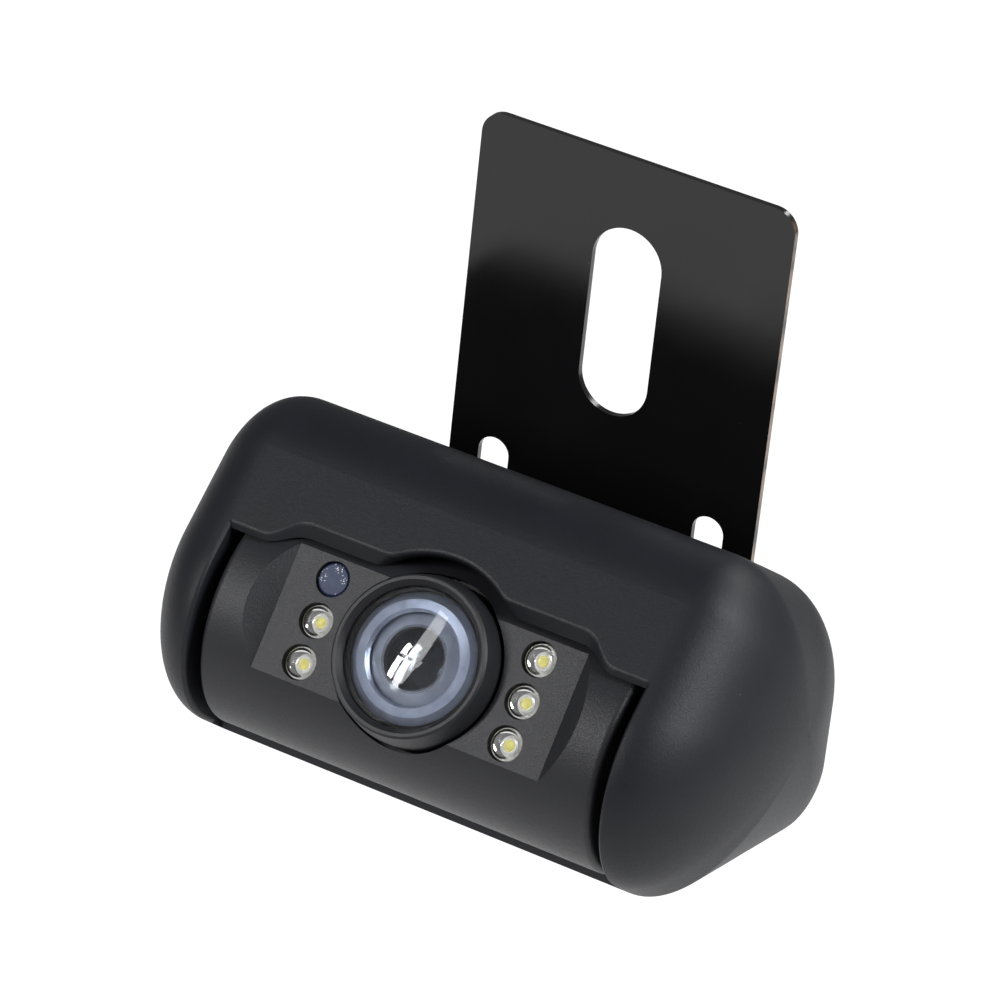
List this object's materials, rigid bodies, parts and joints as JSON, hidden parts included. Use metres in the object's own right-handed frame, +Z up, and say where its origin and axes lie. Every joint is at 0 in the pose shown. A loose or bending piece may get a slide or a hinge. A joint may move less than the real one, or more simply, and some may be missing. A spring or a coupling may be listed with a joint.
{
  "type": "backup camera",
  "caption": "Vehicle backup camera: a drum with lens and LED lights tilts in a domed hood that slides on a slotted steel bracket.",
  "frame": {"origin": "centre of the bracket's large slot, on the bracket's flat back face, which goes against the vehicle", "axes": "+Z up along the bracket, +Y towards the vehicle (out of the bracket's back face), -Y the way the camera looks, +X to the right as seen from behind the vehicle looking at it"},
  "size_m": [0.0944, 0.0632, 0.0927],
  "materials": {
    "bracket_paint": "gloss black stoved paint",
    "hood_plastic": "black, fine matte texture",
    "drum_plastic": "black, spark-eroded texture",
    "bezel_plastic": "black, satin",
    "inner_plastic": "black, dull",
    "bush_plastic": "natural acetal",
    "black_rubber": "black, moulded",
    "seal_rubber": "dark grey silicone",
    "screw_steel": "stainless",
    "dark_screw": "blackened steel",
    "insert_brass": "knurled, bright",
    "barrel_metal": "black anodised",
    "ring_metal": "bright, fine turned",
    "board_green": "solder mask",
    "sensor_package": "black package with a glass window",
    "connector_white": "ivory nylon",
    "window_glass": "clear, coated",
    "lens_glass": "ground, coated blue",
    "led_epoxy": "clear epoxy",
    "sensor_epoxy": "clear epoxy, smoky"
  },
  "bodies": {
    "bracket": {"bracket_plate": "bracket_paint"},
    "hood": {"hood_shell": "hood_plastic", "rear_cover": "hood_plastic", "rear_cover_screws": "dark_screw", "bracket_inserts": "insert_brass", "bracket_screws": "screw_steel", "bracket_washers": "screw_steel", "cable_grommet": "black_rubber", "pivot_bush_left": "bush_plastic", "pivot_bush_right": "bush_plastic"},
    "drum": {"drum_front_shell": "drum_plastic", "drum_rear_shell": "drum_plastic", "drum_seal": "seal_rubber", "drum_screws": "dark_screw", "drum_cable_gland": "black_rubber", "pivot_inserts": "insert_brass", "pivot_screws": "screw_steel", "friction_washers": "screw_steel", "lens_bezel": "bezel_plastic", "cover_glass": "window_glass", "glass_o_ring": "black_rubber", "lens_sleeve": "inner_plastic", "lens_barrel": "barrel_metal", "front_lens_element": "lens_glass", "middle_lens_element": "lens_glass", "rear_lens_element": "lens_glass", "lens_retaining_ring": "ring_metal", "camera_board": "board_green", "power_board": "board_green", "image_sensor": "sensor_package", "board_connector": "connector_white", "lens_holder": "inner_plastic", "lens_holder_screws": "screw_steel", "board_standoffs": "insert_brass", "led_board_left": "board_green", "led_board_right": "board_green", "white_led_1": "led_epoxy", "white_led_2": "led_epoxy", "white_led_3": "led_epoxy", "white_led_4": "led_epoxy", "white_led_5": "led_epoxy", "light_sensor": "sensor_epoxy"}
  },
  "joints": [
    {"name": "height_slide", "type": "slide", "parent": "bracket", "child": "hood", "axis": [0, 0, 1], "range_m": [0, 0.015]},
    {"name": "camera_tilt", "type": "hinge", "parent": "hood", "child": "drum", "pos_m": [0, -0.0387, -0.0408], "axis": [1, 0, 0], "range_deg": [-5, 50]}
  ]
}
